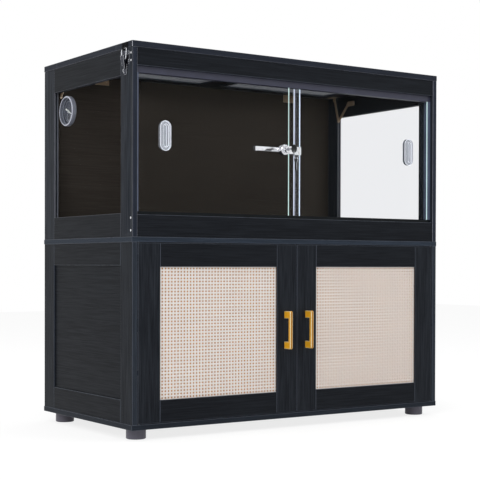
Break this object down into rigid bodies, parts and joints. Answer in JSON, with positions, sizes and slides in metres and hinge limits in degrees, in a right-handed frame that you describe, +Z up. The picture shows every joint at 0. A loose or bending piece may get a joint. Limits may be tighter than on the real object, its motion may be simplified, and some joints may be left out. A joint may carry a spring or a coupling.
{
  "type": "terrarium cabinet",
  "caption": "Glass-fronted terrarium with sliding panes and a hinged net lid on a closed stand with cane doors.",
  "frame": {"origin": "middle of the bounding box at the floor", "axes": "+X to the right seen from the front, +Y to the back, +Z up"},
  "size_m": [1.226, 0.657, 1.1753],
  "materials": {
    "dark_board": "dark woodgrain laminate, satin",
    "inner_board": "dark brown laminate, satin",
    "foot_plastic": "moulded, matte",
    "window_glass": "clear, faint green",
    "lens": "clear",
    "track_plastic": "extruded, satin",
    "bright_steel": "nickel plated, polished",
    "lock_chrome": "chrome plated, polished",
    "black_plastic": "moulded, satin",
    "bronze_steel": "bronze plated, satin",
    "gauge_metal": "silver grey, satin",
    "dial_face": "printed, matte",
    "pointer_white": "painted white",
    "mesh_steel": "woven wire, matte",
    "cane": "woven cane, satin",
    "gold_brass": "polished, gold colour",
    "clear_plastic": "clear, polished"
  },
  "bodies": {
    "cabinet": {"base_board": "dark_board", "feet": "foot_plastic", "deck_board": "dark_board", "stand_left_frame": "dark_board", "stand_right_frame": "dark_board", "stand_side_panels": "dark_board", "stand_back": "inner_board", "stand_divider": "inner_board", "stand_shelves": "inner_board", "tank_left_frame": "dark_board", "tank_right_frame": "dark_board", "tank_side_windows": "window_glass", "tank_back": "inner_board", "front_top_rail": "dark_board", "front_bottom_rail": "dark_board", "top_track": "track_plastic", "bottom_track": "track_plastic", "pane_stops": "track_plastic", "side_screws": "bright_steel", "latch_bases": "bright_steel", "latch_staples": "bright_steel", "stay_wall_brackets": "bronze_steel", "lid_hinge_fixed_leaves": "bronze_steel", "gauge_case": "gauge_metal", "gauge_dial": "dial_face", "gauge_lens": "lens"},
    "gauge_pointer": {"gauge_pointer": "pointer_white"},
    "lid": {"lid_board": "dark_board", "lid_meshes": "mesh_steel", "lid_mesh_trims": "dark_board", "lid_hinge_moving_leaves": "bronze_steel", "latch_catches": "bright_steel", "stay_lid_brackets": "bronze_steel"},
    "stay_lower_left": {"stay_lower_left": "bronze_steel"},
    "stay_lower_right": {"stay_lower_right": "bronze_steel"},
    "stay_upper_left": {"stay_upper_left": "bronze_steel"},
    "stay_upper_right": {"stay_upper_right": "bronze_steel"},
    "latch_lever_left": {"latch_lever_left": "bright_steel"},
    "latch_lever_right": {"latch_lever_right": "bright_steel"},
    "latch_bail_left": {"latch_bail_left": "bright_steel"},
    "latch_bail_right": {"latch_bail_right": "bright_steel"},
    "door_left": {"door_left_frame": "dark_board", "door_left_cane": "cane", "door_left_handle": "gold_brass", "door_left_pivots": "bright_steel"},
    "door_right": {"door_right_frame": "dark_board", "door_right_cane": "cane", "door_right_handle": "gold_brass", "door_right_pivots": "bright_steel"},
    "glass_left": {"pane_left": "window_glass", "pull_left": "clear_plastic", "seal_strip": "clear_plastic", "lock_bar": "lock_chrome", "lock_bar_tip": "black_plastic"},
    "glass_right": {"pane_right": "window_glass", "pull_right": "clear_plastic", "lock_housing": "lock_chrome"},
    "key": {"key_blade": "lock_chrome", "key_head": "black_plastic"},
    "spare_keys": {"key_ring_set": "lock_chrome"}
  },
  "joints": [
    {"name": "lid_hinge", "type": "hinge", "parent": "cabinet", "child": "lid", "pos_m": [0, 0.3253, 1.15715], "axis": [-1, 0, 0], "range_deg": [0, 90]},
    {"name": "stay_lower_left_pivot", "type": "hinge", "parent": "cabinet", "child": "stay_lower_left", "pos_m": [-0.5806, 0.1815, 1.126], "axis": [1, 0, 0], "range_deg": [0, 76.22]},
    {"name": "stay_upper_left_pivot", "type": "hinge", "parent": "lid", "child": "stay_upper_left", "pos_m": [-0.5782, 0.2595, 1.1473], "axis": [1, 0, 0], "range_deg": [0, 57.77]},
    {"name": "stay_lower_right_pivot", "type": "hinge", "parent": "cabinet", "child": "stay_lower_right", "pos_m": [0.5806, 0.1815, 1.126], "axis": [1, 0, 0], "range_deg": [0, 76.22]},
    {"name": "stay_upper_right_pivot", "type": "hinge", "parent": "lid", "child": "stay_upper_right", "pos_m": [0.5782, 0.2595, 1.1473], "axis": [1, 0, 0], "range_deg": [0, 57.77]},
    {"name": "latch_left_lever", "type": "hinge", "parent": "cabinet", "child": "latch_lever_left", "pos_m": [-0.608, -0.2355, 1.1315], "axis": [0, 1, 0], "range_deg": [0, 90]},
    {"name": "latch_left_bail", "type": "hinge", "parent": "latch_lever_left", "child": "latch_bail_left", "pos_m": [-0.608, -0.2355, 1.1235], "axis": [0, 1, 0], "range_deg": [-76, 0]},
    {"name": "latch_right_lever", "type": "hinge", "parent": "cabinet", "child": "latch_lever_right", "pos_m": [0.608, -0.2355, 1.1315], "axis": [0, -1, 0], "range_deg": [0, 90]},
    {"name": "latch_right_bail", "type": "hinge", "parent": "latch_lever_right", "child": "latch_bail_right", "pos_m": [0.608, -0.2355, 1.1235], "axis": [0, -1, 0], "range_deg": [-76, 0]},
    {"name": "door_left_hinge", "type": "hinge", "parent": "cabinet", "child": "door_left", "pos_m": [-0.577, -0.2725, 0.3], "axis": [0, 0, -1], "range_deg": [0, 100]},
    {"name": "door_right_hinge", "type": "hinge", "parent": "cabinet", "child": "door_right", "pos_m": [0.577, -0.2725, 0.3], "axis": [0, 0, 1], "range_deg": [0, 100]},
    {"name": "left_pane_slide", "type": "slide", "parent": "cabinet", "child": "glass_left", "axis": [1, 0, 0], "range_m": [0, 0.4]},
    {"name": "right_pane_slide", "type": "slide", "parent": "cabinet", "child": "glass_right", "axis": [1, 0, 0], "range_m": [-0.4, 0]},
    {"name": "key_turn", "type": "hinge", "parent": "glass_right", "child": "key", "pos_m": [-0.0404, -0.2845, 0.886], "axis": [0, -1, 0], "range_deg": [0, 90]},
    {"name": "key_ring_swing", "type": "hinge", "parent": "key", "child": "spare_keys", "pos_m": [-0.0404, -0.3155, 0.877], "axis": [0, 1, 0], "range_deg": [0, 90]},
    {"name": "gauge_pointer_turn", "type": "hinge", "parent": "cabinet", "child": "gauge_pointer", "pos_m": [-0.6, 0.1435, 1.01], "axis": [1, 0, 0], "range_deg": [-60, 60]}
  ],
  "couplings": [
    {"joint": "stay_lower_left_pivot", "follows": "lid_hinge", "ratio": 0.8413},
    {"joint": "stay_lower_right_pivot", "follows": "lid_hinge", "ratio": 0.8413},
    {"joint": "stay_upper_left_pivot", "follows": "lid_hinge", "ratio": 0.6363},
    {"joint": "stay_upper_right_pivot", "follows": "lid_hinge", "ratio": 0.6363},
    {"joint": "latch_left_bail", "follows": "latch_left_lever", "ratio": -0.84},
    {"joint": "latch_right_bail", "follows": "latch_right_lever", "ratio": -0.84},
    {"joint": "key_ring_swing", "follows": "key_turn", "ratio": 1}
  ]
}
